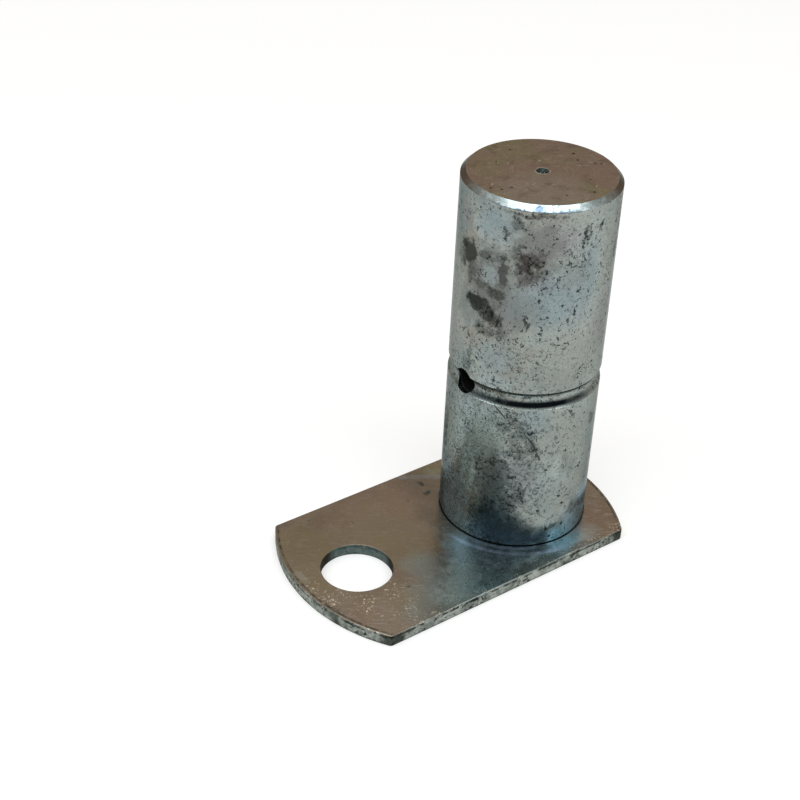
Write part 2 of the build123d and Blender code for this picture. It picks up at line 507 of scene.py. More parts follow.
def shaft_finish():
    finish, tree, surface = new_finish("plated_shaft")
    place = place_in_mm(tree)
    x, y, height = parts_of(tree, place)
    radius = vector(tree, "LENGTH", joined(tree, x, y))
    breaking = noise(tree, place, 0.42, 5.0, 0.62)
    moved = wandering(tree, place, 0.30, 5.0)

    def marked(table, softness=0.5, at=moved):
        return patches(tree, table, on_the_side, at, breaking, softness)

    def one_spot(middle, reach, ragged, strength=1.0, softness=0.5, at=place):
        return spot(tree, at, breaking, middle, reach, ragged, strength, softness)

    # Plating on the side, cool where it is clean and warmer where it has dulled, with a tall band of painted
    # light on the right
    dulled = ramp(tree, noise(tree, place, 0.06, 4.0, 0.6, 0.6), 0.40, 0.60)
    side = tint(tree, dulled, (0.228, 0.268, 0.262), (0.255, 0.250, 0.215))
    light = clouds(tree, (7.0, 3.0, 5.0), (0.24, 6.0, 0.70), 0.40, 0.62)
    side = tint(tree, light, side, (0.345, 0.372, 0.350), 0.60)
    side = tint(tree, marked(shaft_bright_patches), side, (0.385, 0.465, 0.480))
    side = tint(tree, marked(shaft_pale_parts), side, (0.430, 0.425, 0.395))
    # A tall band of painted light on the right side of the shaft
    lit_right_band = one_spot(round_the_shaft(268.0, 52.0, 6.0), (13.0, 13.0, 75.0), 0.1, 0.60)
    side = tint(tree, lit_right_band, side, (0.385, 0.425, 0.402))
    for table, colour in (
        (shaft_violet_tints, (0.255, 0.235, 0.255)),
        (shaft_blue_tints, (0.215, 0.280, 0.305)),
        (shaft_green_tints, (0.250, 0.325, 0.290)),
        (shaft_straw_tints, (0.270, 0.282, 0.250)),
        (shaft_haze, (0.125, 0.130, 0.126)),
    ):
        side = tint(tree, marked(table), side, colour)
    rubbed = one_spot(round_the_shaft(196.5, 76.2), (2.2, 2.2, 2.5), 0.30, 0.80, 0.28, moved)
    side = tint(tree, rubbed, side, (0.255, 0.300, 0.300))
    fine = clouds(tree, (1.0, 8.0, 2.0), (1.9, 4.0, 0.75), 0.40, 0.66)
    side = tint(tree, fine, side, (0.125, 0.147, 0.136), 0.42)

    # Stains, scratches and pits, with a painted dark reflection low in front among the stains
    mottled = clouds(tree, (9.0, 1.0, 4.0), (1.1, 4.0, 0.7), 0.34, 0.56, 0.72, 1.0)
    dark_stains_and_reflection = product(tree, marked(shaft_stains_and_reflection), mottled)
    firm_stains = marked(shaft_firm_stains, 0.22)
    brown_stains_and_reflection = product(tree, marked(shaft_brown_stains_and_reflection), mottled)
    scratches = strongest(tree, [
        effect(tree, scratch, place=place, start=round_the_shaft(turn, high),
               end=round_the_shaft(turn_end, high_end), width=width, wander=breaking, strength=0.9)
        for turn, high, turn_end, high_end, width in shaft_scratches
    ])
    crowded = maths(tree, "MULTIPLY_ADD", marked(shaft_fleck_zones), 0.30, 0.14)
    pits = pitted(tree, (17.0, 5.0, 11.0), 1.30, crowded, 0.50)
    small_pits = pitted(tree, (30.0, 12.0, 4.0), 0.75, 0.27, 0.5)
    stained = maths(tree, "MULTIPLY_ADD", maths(tree, "MAXIMUM", dark_stains_and_reflection, brown_stains_and_reflection), 0.80, 0.05)
    stained_pits = pitted(tree, (3.0, 40.0, 9.0), 1.0, stained, 0.4)
    low_left = one_spot(round_the_shaft(205.0, 24.0), (17.0, 17.0, 30.0), 0.4)
    crazed = effect(tree, crazing, place=place_in_mm(tree, (8.0, 2.0, 30.0)), size=0.85,
                    amount=maths(tree, "MULTIPLY_ADD", low_left, 0.66, -0.14))
    marks = strongest(tree, [pits, small_pits, stained_pits, crazed, scratches])
    side = tint(tree, brown_stains_and_reflection, side, (0.048, 0.040, 0.038))
    side = tint(tree, dark_stains_and_reflection, side, (0.036, 0.037, 0.032))
    side = tint(tree, firm_stains, side, (0.027, 0.029, 0.024))

    # Painted reflection of the plate round the foot, in blue, green, grey and navy, and a painted shade line
    # where the shaft enters the plate, strongest in front
    foot_reflection = ramp(tree, maths(tree, "MULTIPLY_ADD", breaking, 6.0, height), 12.0, 5.0)
    blue_foot_reflection = marked(shaft_foot_blue_reflection, at=place)
    for mask, colour, share in (
        (low_left, (0.215, 0.268, 0.265), 0.35),
        (foot_reflection, (0.200, 0.280, 0.310), 0.5),
        (marked(shaft_foot_green_reflection, at=place), (0.340, 0.470, 0.475), 1.0),
        (marked(shaft_foot_grey_reflection), (0.330, 0.440, 0.510), 1.0),
        (marked(shaft_foot_navy_reflection), (0.026, 0.042, 0.054), 1.0),
        (blue_foot_reflection, (0.450, 0.650, 0.760), 1.0),
    ):
        side = tint(tree, mask, side, colour, share)
    # A painted shade line where the shaft enters the plate, strongest in front
    seam_front = one_spot(round_the_shaft(227.0, 0.0), (20.0, 20.0, 8.0), 0.2)
    seam_strength = maths(tree, "MULTIPLY_ADD", seam_front, 0.75, 0.20)
    seam_shade = product(tree, ramp(tree, height, 0.36, 0.10), seam_strength)
    side = tint(tree, seam_shade, side, (0.008, 0.022, 0.032))
    side = tint(tree, marks, side, (0.013, 0.019, 0.018), 0.88)

    # A painted dark reflection along the groove's lower wall, strongest in front, and a painted shade line
    # under its upper rim
    sunk = ramp(tree, radius, shaft_radius - 0.03, shaft_radius - 0.10)
    below = ramp(tree, height, groove_middle + 0.10, groove_middle - 1.15)
    lower_rim = ramp(tree, height, groove_middle - 2.35, groove_middle - 1.55)
    front = one_spot(round_the_shaft(239.0, groove_middle), (12.5, 12.5, 12.5), 0.2, softness=0.9)
    groove_dark_reflection = product(tree, sunk, below, lower_rim, maths(tree, "MULTIPLY_ADD", front, 0.96, 0.22))
    side = tint(tree, groove_dark_reflection, side, (0.006, 0.008, 0.009))
    upper_rim = ramp(tree, height, groove_middle + 1.75, groove_middle + 2.2)
    near = ramp(tree, front, 0.0, 0.35, 0.35, 0.80)
    side = tint(tree, product(tree, sunk, upper_rim, near), side, (0.034, 0.054, 0.052))

    # Faintly gold-brown end face, in part a painted reflection of the warm room behind, with turning marks
    # and light strokes
    facing = parts_of(tree, put(tree, "ShaderNodeNewGeometry").outputs["Normal"])[2]
    at_top = ramp(tree, height, shaft_top - 0.1, shaft_top - 0.02)
    end_face = product(tree, ramp(tree, facing, 0.90, 0.97), at_top)
    gold = clouds(tree, (11.0, 2.0, 0.0), (0.08, 3.0, 0.5), 0.46, 0.64)
    end_colour = tint(tree, gold, (0.318, 0.232, 0.184), (0.300, 0.250, 0.158))
    paler = one_spot((-7.5, -9.8, shaft_top), (10.0, 10.0, 10.0), 0.25, 0.5)
    end_colour = tint(tree, paler, end_colour, (0.375, 0.335, 0.280))
    rings = noise(tree, joined(tree, radius), 3.2, 3.0, 0.6)
    in_patches = clouds(tree, (2.0, 5.0, 0.0), (0.35, 3.0, 0.6, 0.8), 0.50, 0.66)
    arcs = product(tree, ramp(tree, rings, 0.52, 0.66), in_patches)
    end_colour = tint(tree, arcs, end_colour, (0.52, 0.46, 0.37), 0.75)
    smudge = clouds(tree, (4.0, 9.0, 0.0), (0.5, 6.0, 0.7, 0.5), 0.50, 0.72)
    end_colour = tint(tree, smudge, end_colour, (0.42, 0.355, 0.285), 0.65)
    strokes = strongest(tree, [
        effect(tree, scratch, place=place, start=(sx, sy, shaft_top), end=(ex, ey, shaft_top),
               width=0.30, wander=breaking, strength=0.75)
        for sx, sy, ex, ey in end_face_strokes
    ])
    end_colour = tint(tree, strokes, end_colour, (0.56, 0.50, 0.41))
    shade = clouds(tree, (14.0, 9.0, 0.0), (0.22, 5.0, 0.66), 0.50, 0.68)
    end_colour = tint(tree, shade, end_colour, (0.150, 0.105, 0.080), 0.42)
    drawn_pits = strongest(tree, [
        one_spot((px, py, shaft_top), (size, size, size), 0.3) for px, py, size in end_face_pits
    ])
    end_pits = product(tree, pitted(tree, (5.0, 5.0, 0.0), 0.8, -0.05, 0.4), 0.6)
    end_pits = maths(tree, "MAXIMUM", end_pits, drawn_pits)
    end_colour = tint(tree, end_pits, end_colour, (0.040, 0.030, 0.024), 0.85)

    # Chamfer, pale in front where it catches the soft box and painted brown round the back as a reflection
    # of the warm room, with a broken dark line along its foot
    streaks = clouds(tree, (6.0, 3.0, 1.0), (0.7, 4.0, 0.6), 0.42, 0.62)
    lit_chamfer_arc = one_spot(round_the_shaft(231.0, shaft_top), (17.5, 17.5, 17.5), 0.1, softness=0.35)
    nick = one_spot((-12.4, -13.6, shaft_top - 0.7), (0.7, 0.7, 1.5), 0.9, 0.72)
    chamfer = tint(tree, streaks, (0.30, 0.36, 0.37), (0.44, 0.52, 0.53))
    chamfer = tint(tree, lit_chamfer_arc, (0.150, 0.112, 0.086), chamfer)
    chamfer = tint(tree, nick, chamfer, (0.070, 0.125, 0.230))
    chamfer_pits = pitted(tree, (2.0, 2.0, 2.0), 0.9, 0.10, 0.3)
    chamfer = tint(tree, chamfer_pits, chamfer, (0.08, 0.11, 0.12), 0.6)
    low_edge = ramp(tree, off(tree, height, chamfer_foot), 0.34, 0.10)
    broken = ramp(tree, breaking, 0.42, 0.54, 0.15, 1.0)
    near_edge = one_spot(round_the_shaft(226.0, shaft_top), (11.0, 11.0, 11.0), 0.2, 0.85)
    colour = tint(tree, ramp(tree, height, chamfer_foot - 0.02, chamfer_foot + 0.02), side, chamfer)
    colour = tint(tree, product(tree, low_edge, broken, near_edge), colour, (0.035, 0.060, 0.105))
    colour = tint(tree, end_face, colour, end_colour)

    # Centre mark, dark inside with a worn rim
    mark_side = ramp(tree, radius, centre_mark_radius + 0.12, centre_mark_radius - 0.05)
    mark_floor = shaft_top - centre_mark_depth
    above_floor = ramp(tree, height, mark_floor, mark_floor + 0.1)
    in_mark = product(tree, mark_side, above_floor, maths(tree, "SUBTRACT", 1.0, end_face))
    mark_spots = clouds(tree, (13.0, 6.0, 1.0), (2.4, 3.0, 0.7), 0.44, 0.62)
    mark_colour = tint(tree, mark_spots, (0.030, 0.042, 0.036), (0.190, 0.230, 0.210))
    colour = tint(tree, in_mark, colour, mark_colour)
    mark_rim = ramp(tree, off(tree, radius, centre_mark_radius + 0.25), 0.40, 0.10)
    mark_rim = product(tree, mark_rim, end_face, mark_spots)
    colour = tint(tree, mark_rim, colour, (0.62, 0.60, 0.54), 0.8)

    # Plain plated back end inside the weld, and the dark insides of the pocket and the cross hole
    back_clouds = clouds(tree, (12.0, 7.0, 0.0), (0.22, 5.0, 0.62), 0.38, 0.64)
    back = tint(tree, back_clouds, (0.285, 0.265, 0.215), (0.400, 0.410, 0.375))
    heat = ramp(tree, radius, pocket_radius + 3.5, shaft_radius - 2.0, 0.0, 0.5)
    back = tint(tree, heat, back, (0.250, 0.330, 0.380))
    back = tint(tree, marks, back, (0.030, 0.032, 0.028), 0.7)
    colour = tint(tree, ramp(tree, height, -0.20, -0.35), colour, back)
    inside = ramp(tree, radius, shaft_radius - 1.25, shaft_radius - 1.6)
    above_foot = ramp(tree, height, shaft_foot + 0.3, shaft_foot + 6.0)
    below_top = ramp(tree, height, shaft_top - 5.0, shaft_top - 6.0)
    bored = product(tree, inside, above_foot, below_top)
    colour = tint(tree, bored, colour, (0.012, 0.012, 0.012))

    rough = clouds(tree, (2.0, 6.0, 1.0), (0.7, 4.0, 0.6), 0.3, 0.7, 0.15, 0.29)
    for mask, share in (
        (maths(tree, "MAXIMUM", dark_stains_and_reflection, firm_stains), 0.16),
        (maths(tree, "MAXIMUM", marks, groove_dark_reflection), 0.2),
        (blue_foot_reflection, 0.18),
    ):
        rough = maths(tree, "MULTIPLY_ADD", mask, share, rough)

    # Ground grain round the side, turning marks on the end, and the depth of the pits
    grain = noise(tree, place_in_mm(tree, squeeze=(0.06, 0.06, 3.0)), 1.6, 3.0, 0.6)
    waves = noise(tree, place_in_mm(tree, (5.0, 1.0, 3.0)), 0.35, 4.0, 0.6)
    relief = product(tree, grain, 0.30)
    for layer, share in (
        (rings, 0.25),
        (waves, 1.4),
        (marks, -1.2),
        (product(tree, end_pits, end_face), -1.2),
    ):
        relief = maths(tree, "MULTIPLY_ADD", layer, share, relief)
    lay_on(tree, surface, colour, rough, relief, 0.22, 0.00008)
    tree.links.new(maths(tree, "MULTIPLY_ADD", bored, -0.85, 1.0), surface.inputs["Metallic"])
    surface.inputs["Specular Tint"].default_value = (0.45, 0.48, 0.48, 1.0)
    return finish


def dress(node, finish):
    """A carried-over piece takes its finish in each of its material slots."""
    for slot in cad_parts[node].material_slots:
        slot.material = finish


dress("pin_shaft", shaft_finish())


# Retaining plate
# A flat steel plate, cut from sheet with two straight sides and two round ends, bored for the shaft
# and for its retaining bolt, then plated with the shaft. Its cut edges are rough and pitted.

plate_low, plate_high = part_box("flag_plate")
plate_middle = (plate_low.x + plate_high.x) / 2 / MM
plate_end_radius = (plate_high.x - plate_low.x) / 2 / MM
plate_thickness = (plate_high.z - plate_low.z) / MM
bolt_hole_middle = -49.7
bolt_hole_radius = 9.0
inner_arc_radius = 20.1
outer_arc_radius = 22.3
mark_height = 8.0

# Marks and tints on the upper face: middle x and y, half sizes x and y, ragged, strength
plate_dark_marks = [
    (-16.3, 15, 1.2, 0.7, 0.4, 1),
    (-15.8, 19.2, 0.9, 1, 0.5, 1),
    (-23, 15.6, 0.9, 0.6, 0.6, 0.4),
    (-42.6, -12.8, 0.6, 0.6, 0.5, 0.6),
    (-20.5, -21.5, 7, 1.4, 0.8, 0.3),
    (-7, -19.8, 5, 1.4, 0.8, 0.34),
    (-63.2, -9.5, 0.8, 2.2, 0.6, 0.4),
]
plate_pale_marks = [
    (-63.2, 4, 0.8, 2.2, 0.5, 0.3),
    (-10, 21.5, 2, 1.6, 0.5, 0.2),
]
# Painted reflection of the shaft on the face in front of it, in grey, steel, blue, green and pale blue
plate_grey_reflection = [
    (-35, -9.5, 5.5, 6, 0.1, 0.62),
    (-34, -19, 10, 8, 0.06, 0.85),
    (-42, -22.5, 8, 4.5, 0.1, 0.55),
]
plate_steel_reflection = [
    (-27, -17, 7.5, 6, 0.06, 0.76),
    (-33, -21.5, 8, 5.5, 0.06, 1),
]
plate_olive_tints = [
    (-56, 14, 8, 8, 0.3, 0.55),
    (-61.5, 2, 3, 6, 0.4, 0.6),
    (-10, 22.4, 3, 2.6, 0.3, 0.95),
    (-36, 2, 6, 10, 0.3, 0.35),
    (-47, -15, 5, 5, 0.4, 0.35),
]
plate_reddish_tints = [
    (-24, 16, 7, 6, 0.3, 0.5),
    (-40, 20, 8, 5, 0.4, 0.3),
    (12, -18, 6, 5, 0.2, 0.4),
    (-58, -16, 4, 5, 0.4, 0.4),
]
plate_shadows = [
    (-15, 17, 6, 9, 0.2, 0.3),
    (-21, 6, 4, 7, 0.15, 0.34),
    (-57, 25.4, 4, 2, 0.4, 0.3),
    (-48, 22, 9, 5, 0.2, 0.1),
    (-12, -24.8, 8, 2.4, 0.2, 0.58),
    (4, -25, 5, 1.6, 0.2, 0.4),
    (-24, -4, 4, 6, 0.1, 0.1),
]
plate_blue_reflection = [
    (-12, -20, 17, 8, 0.04, 1),
    (-21.5, -11.5, 6.5, 8.5, 0.04, 0.8),
    (-22, -2, 3.2, 4.5, 0.06, 0.16),
]
plate_bright_reflection = [
    (0.5, -20.8, 5, 2.4, 0.06, 0.5),
    (-26, -22.5, 7, 3, 0.1, 0.45),
]
plate_green_reflection = [
    (-12, -24.2, 12, 1.9, 0.3, 0.78),
    (-26, -20.5, 7, 3.6, 0.25, 0.35),
]
plate_corner_marks = [
    (-57.5, -25.4, 4.5, 2.5, 0.4, 0.85),
    (-63.8, -12, 1.5, 2.5, 0.6, 0.7),
    (15.5, -25.4, 3.5, 2, 0.6, 0.8),
]
plate_light_parts = [
    (-48, -21, 17, 9, 0.15, 0.75),
    (-62, -6, 6, 14, 0.15, 0.4),
]


def on_the_plate(x, y, long, deep):
    """Where a mark lies on the plate, and how far it reaches. Its height takes it right through."""
    return (x, y, 0.0), (long, deep, mark_height)


def plate_finish():
    finish, tree, surface = new_finish("plated_plate")
    place = place_in_mm(tree)
    x, y, z = parts_of(tree, place)
    across = joined(tree, x, y)
    from_shaft = vector(tree, "LENGTH", across)
    facing = parts_of(tree, put(tree, "ShaderNodeNewGeometry").outputs["Normal"])[2]
    flat = ramp(tree, maths(tree, "ABSOLUTE", facing), 0.45, 0.85)
    breaking = noise(tree, place, 0.42, 5.0, 0.62)
    moved = wandering(tree, place, 0.22, 6.0)

    def marked(table):
        return patches(tree, table, on_the_plate, moved, breaking)

    # Faintly gold-brown plating on the flat faces, in part a painted reflection of the warm room behind,
    # with dull and grey clouds
    dull = clouds(tree, (3.0, 4.0, 0.0), (0.055, 4.0, 0.6, 0.8), 0.38, 0.64)
    face = tint(tree, dull, (0.222, 0.168, 0.125), (0.245, 0.195, 0.145))
    gold = clouds(tree, (21.0, 8.0, 0.0), (0.13, 5.0, 0.62), 0.50, 0.70)
    face = tint(tree, gold, face, (0.262, 0.215, 0.125), 0.45)
    grey = clouds(tree, (1.0, 30.0, 0.0), (0.3, 5.0, 0.66), 0.50, 0.74)
    face = tint(tree, grey, face, (0.290, 0.255, 0.218), 0.45)
    for table, colour in (
        (plate_light_parts, (0.315, 0.265, 0.210)),
        (plate_olive_tints, (0.225, 0.190, 0.110)),
        (plate_reddish_tints, (0.260, 0.180, 0.135)),
    ):
        face = tint(tree, marked(table), face, colour)
    plain = face

    # Painted reflection of the shaft on the face in front of it, in grey, steel, blue, green and pale blue,
    # with two fine pale arcs round it on that side
    for table, colour in (
        (plate_grey_reflection, (0.245, 0.285, 0.275)),
        (plate_steel_reflection, (0.430, 0.485, 0.470)),
        (plate_blue_reflection, (0.480, 0.600, 0.635)),
        (plate_green_reflection, (0.250, 0.325, 0.320)),
        (plate_bright_reflection, (0.370, 0.600, 0.680)),
    ):
        face = tint(tree, marked(table), face, colour)
    outer_arc = ramp(tree, off(tree, from_shaft, outer_arc_radius), 0.85, 0.35)
    inner_arc = ramp(tree, off(tree, from_shaft, inner_arc_radius), 0.65, 0.20)
    toward_front = vector(tree, "DOT_PRODUCT", across, (-0.68, -0.73, 0.0))
    in_front = ramp(tree, toward_front, 16.0, 20.5, 0.0, 0.85)
    upward = ramp(tree, facing, 0.3, 0.7)
    arcs = product(tree, maths(tree, "MAXIMUM", outer_arc, inner_arc), in_front, upward)
    face = tint(tree, arcs, face, (0.660, 0.780, 0.950))

    # Rolling streaks, loose marks and shadows
    along = vector(tree, "DOT_PRODUCT", across, (0.20, -0.15, 0.0))
    beside = vector(tree, "DOT_PRODUCT", across, (0.92, 1.20, 0.0))
    streaks = ramp(tree, noise(tree, joined(tree, along, beside), 1.0, 4.0, 0.65), 0.52, 0.70)
    streaks = product(tree, streaks, ramp(tree, y, -4.0, -18.0, 0.15, 0.55))
    face = tint(tree, streaks, face, (0.42, 0.44, 0.41))
    face = tint(tree, marked(plate_pale_marks), face, (0.42, 0.42, 0.42))
    long_streak = effect(tree, scratch, place=place, start=(-18.0, 24.2, 0.0), end=(-9.5, 19.0, 0.0),
                         width=1.7, wander=breaking, strength=0.42)
    face = tint(tree, long_streak, face, (0.300, 0.320, 0.345))
    face = tint(tree, marked(plate_dark_marks), face, (0.055, 0.062, 0.056))
    face = tint(tree, marked(plate_shadows), face, (0.070, 0.074, 0.068))

    # Bright specks where the plating is rubbed through, thickest at the bolt hole's end and the front edge
    specks = pitted(tree, (50.0, 7.0, 3.0), 0.60, 0.34, 0.4)
    toe = spot(tree, place, breaking, (-58.0, -12.0, 0.0), (12.0, 14.0, mark_height), 0.2)
    front = product(tree, ramp(tree, y, -21.0, -24.6), 0.8)
    worn = maths(tree, "MULTIPLY_ADD", maths(tree, "MAXIMUM", toe, front), 0.85, 0.10)
    face = tint(tree, product(tree, specks, worn), face, (0.95, 0.87, 0.68))
    pits = pitted(tree, (14.0, 3.0, 6.0), 0.7, 0.0, 0.6)
    face = tint(tree, pits, face, (0.060, 0.050, 0.040), 0.50)
    # A painted shade line along the bore's edge, where the shaft enters the plate, strongest in front
    bore_edge = ramp(tree, from_shaft, shaft_radius + 0.36, shaft_radius + 0.22)
    bore_gap_shade = product(tree, ramp(tree, toward_front, 0.0, 12.0, 0.25, 1.0), bore_edge)
    face = tint(tree, bore_gap_shade, face, (0.012, 0.028, 0.040))

    # The back is plainer, with a dull blue-grey tint round the weld and a few pits
    heat = ramp(tree, maths(tree, "MULTIPLY_ADD", breaking, 14.0, from_shaft), 41.0, 27.0, 0.0, 0.8)
    back = tint(tree, heat, plain, (0.215, 0.255, 0.275))
    scorch = ramp(tree, maths(tree, "MULTIPLY_ADD", breaking, 8.0, from_shaft), 30.0, 25.0, 0.0, 0.6)
    back = tint(tree, scorch, back, (0.120, 0.110, 0.095))
    back = tint(tree, pits, back, (0.060, 0.050, 0.040), 0.60)
    face = tint(tree, ramp(tree, facing, -0.3, -0.7), face, back)

    # Cut edges, grey-green and heavily pitted, with a broken dark line above and a dark foot
    edge_clouds = ramp(tree, noise(tree, place, 0.45, 5.0, 0.7, 0.4), 0.36, 0.64)
    edge = tint(tree, edge_clouds, (0.140, 0.162, 0.146), (0.385, 0.412, 0.375))
    edge_pits = pitted(tree, (9.0, 9.0, 0.0), 1.0, 0.48, 0.5)
    edge = tint(tree, edge_pits, edge, (0.010, 0.014, 0.012), 0.9)
    gaps = noise(tree, place_in_mm(tree, (6.0, 2.0, 0.0), (1.0, 1.0, 0.3)), 0.35, 4.0, 0.6)
    upper_line = product(tree, ramp(tree, off(tree, z, -0.62), 0.42, 0.12), ramp(tree, gaps, 0.42, 0.56))
    edge = tint(tree, upper_line, edge, (0.010, 0.013, 0.011), 0.9)
    lower_line = ramp(tree, z, -plate_thickness + 0.70, -plate_thickness + 0.15)
    edge = tint(tree, lower_line, edge, (0.016, 0.020, 0.018), 0.7)
    edge = tint(tree, marked(plate_corner_marks), edge, (0.016, 0.020, 0.016))

    # Wall of the bolt hole, grey-green and nearly black at two sides
    from_bolt = vector(tree, "DISTANCE", across, (bolt_hole_middle, 0.0, 0.0))
    in_hole = ramp(tree, from_bolt, bolt_hole_radius + 0.5, bolt_hole_radius + 0.3)
    edge = tint(tree, in_hole, edge, (0.080, 0.125, 0.120), 0.72)
    beside_hole = vector(tree, "DOT_PRODUCT", across, (-0.75, 0.66, 0.0))
    dark_sides = ramp(tree, off(tree, beside_hole, -0.75 * bolt_hole_middle), 6.0, 8.2, 0.0, 0.95)
    edge = tint(tree, product(tree, in_hole, dark_sides), edge, (0.030, 0.024, 0.020))

    # Broken dark line just inside the round ends
    from_middle = vector(tree, "DISTANCE", across, (plate_middle, 0.0, 0.0))
    rim_line = ramp(tree, off(tree, from_middle, plate_end_radius - 0.75), 0.45, 0.15)
    rim_line = product(tree, rim_line, ramp(tree, breaking, 0.44, 0.56, 0.25, 0.85))
    face = tint(tree, rim_line, face, (0.060, 0.062, 0.052))

    rough = clouds(tree, (8.0, 8.0, 8.0), (0.5, 4.0, 0.6), 0.3, 0.7, 0.22, 0.34)
    on_edges = maths(tree, "SUBTRACT", 1.0, flat)
    for mask, share in ((on_edges, 0.14), (in_hole, 0.25), (arcs, 0.08)):
        rough = maths(tree, "MULTIPLY_ADD", mask, share, rough)
    relief = noise(tree, place_in_mm(tree, (5.0, 1.0, 3.0)), 0.4, 4.0, 0.55)
    for layer, share in ((product(tree, edge_pits, on_edges), -2.5), (specks, 0.8)):
        relief = maths(tree, "MULTIPLY_ADD", layer, share, relief)
    lay_on(tree, surface, tint(tree, flat, edge, face), rough, relief, 0.3, 0.0001)
    surface.inputs["Metallic"].default_value = 1.0
    surface.inputs["Specular Tint"].default_value = (0.60, 0.60, 0.58, 1.0)
    return finish


dress("flag_plate", plate_finish())


# Weld bead
# One pass of weld metal round the shaft's bevelled end, laid from the plate's back and kept below
# its face. It has the small overlapping ripples of a hand-laid bead and one stop where it closes.

weld_low, weld_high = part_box("weld_bead")
bead_outer = weld_high.x / MM
bead_root = weld_high.z / MM
bead_edge = weld_low.z / MM
bead_inner = shaft_radius + shaft_foot
bead_steps = 460
bead_across = 14
bead_crown = 0.12
ripple_count = 46
ripple_depth = 0.13
ripple_slope = 1.5
ripple_bow = 1.9
ripple_sway = 0.35
sways_round = 3
stop_turn = 1.2
stop_width = 0.05
stop_height = 0.10
unevenness = 0.03
swells_round = 5
back_clearance = 0.02
sharp_corner = math.radians(50)


def bead_section(angle):
    """The rippled face of the bead at one turn, then its two hidden corners."""
    section = []
    for i in range(bead_across + 1):
        share = i / bead_across
        bow = 4 * share * (1 - share)
        phase = ripple_count * angle + ripple_bow * bow + ripple_sway * math.sin(sways_round * angle)
        ripple = (phase / (2 * math.pi)) % 1.0
        lap = ripple_depth * bow * (1 - ripple) ** ripple_slope
        stop = stop_height * bow * math.exp(-((angle - stop_turn) / stop_width) ** 2)
        uneven = unevenness * bow * math.sin(swells_round * angle + 2 * share)
        level = shaft_foot + (bead_edge - shaft_foot) * share - bead_crown * bow
        radius = bead_inner + (bead_outer - bead_inner) * share
        section.append((radius, max(level - lap + stop + uneven, plate_low.z / MM + back_clearance)))
    return section + [(bead_outer, bead_root), (shaft_radius + bead_root, bead_root)]


def weld_ring():
    """The bead's closed ring of sections."""
    points = []
    for step in range(bead_steps):
        angle = 2 * math.pi * step / bead_steps
        section = bead_section(angle)
        points += [(r * MM * math.cos(angle), r * MM * math.sin(angle), z * MM) for r, z in section]
    count = len(points) // bead_steps
    faces = []
    for step in range(bead_steps):
        here = step * count
        after = ((step + 1) % bead_steps) * count
        for i in range(count):
            j = (i + 1) % count
            faces.append((here + i, after + i, after + j, here + j))
    mesh = bpy.data.meshes.new("weld_ring")
    mesh.from_pydata(points, [], faces)
    mesh.shade_smooth()
    mesh.set_sharp_from_angle(angle=sharp_corner)
    ring = bpy.data.objects.new("weld_ring", mesh)
    bpy.context.scene.collection.objects.link(ring)
    return ring


def weld_finish():
    finish, tree, surface = new_finish("weld_metal")
    place = place_in_mm(tree)
    pale = ramp(tree, noise(tree, place, 0.5, 5.0, 0.65), 0.35, 0.65)
    colour = tint(tree, pale, (0.20, 0.215, 0.205), (0.36, 0.345, 0.300))
    soot = clouds(tree, (5.0, 2.0, 8.0), (0.16, 4.0, 0.6), 0.46, 0.66)
    colour = tint(tree, soot, colour, (0.085, 0.070, 0.055), 0.6)

    # Darker lines in the hollows between the ripples
    x, y = parts_of(tree, place)[:2]
    share = ramp(tree, vector(tree, "LENGTH", joined(tree, x, y)), bead_inner, bead_outer)
    bow = product(tree, share, maths(tree, "SUBTRACT", 1.0, share), 4.0)
    turned = product(tree, maths(tree, "ARCTAN2", y, x), ripple_count / (2 * math.pi))
    turned = maths(tree, "MULTIPLY_ADD", bow, 0.30, turned)
    turned = maths(tree, "MULTIPLY_ADD", noise(tree, place, 0.6, 3.0, 0.6), 0.5, turned)
    hollow = ramp(tree, off(tree, maths(tree, "FRACT", turned), 0.5), 0.18, 0.02)
    colour = tint(tree, hollow, colour, (0.070, 0.068, 0.060), 0.62)
    colour = tint(tree, pitted(tree, (0.0, 0.0, 0.0), 0.7, 0.1, 0.5), colour, (0.02, 0.02, 0.02))
    rough = ramp(tree, noise(tree, place, 1.2, 3.0, 0.6), 0.3, 0.7, 0.30, 0.50)
    relief = maths(tree, "SUBTRACT", noise(tree, place, 2.5, 4.0, 0.6), hollow)
    lay_on(tree, surface, colour, rough, relief, 0.5, 0.00015)
    surface.inputs["Metallic"].default_value = 1.0
    return finish


weld = weld_ring()
weld.data.materials.append(weld_finish())
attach(weld, "root")
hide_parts("weld_bead")


# Grease fitting
# A small straight fitting of plated steel, screwed into the shaft's welded end and sunk in its
# pocket. A smear of old grease and dust lies round its nose.

fitting_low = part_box("grease_fitting")[0]
nose_end = fitting_low.z / MM


def fitting_finish():
    finish, tree, surface = new_finish("fitting_steel")
    place = place_in_mm(tree)
    height = parts_of(tree, place)[2]
    pale = ramp(tree, noise(tree, place, 0.8, 4.0, 0.6), 0.35, 0.65)
    colour = tint(tree, pale, (0.50, 0.46, 0.33), (0.60, 0.60, 0.52))
    nose = ramp(tree, height, nose_end + 2.6, nose_end + 0.4)
    smear = clouds(tree, (4.0, 1.0, 7.0), (0.9, 5.0, 0.65), 0.42, 0.62)
    smear = product(tree, smear, ramp(tree, nose, 0.0, 1.0, 0.35, 0.9))
    colour = tint(tree, smear, colour, (0.055, 0.042, 0.028))
    rough = ramp(tree, smear, 0.0, 1.0, 0.24, 0.55)
    lay_on(tree, surface, colour, rough, noise(tree, place, 3.0, 4.0, 0.6), 0.2, 0.00005)
    tree.links.new(maths(tree, "MULTIPLY_ADD", smear, -0.7, 1.0), surface.inputs["Metallic"])
    return finish


dress("grease_fitting", fitting_finish())


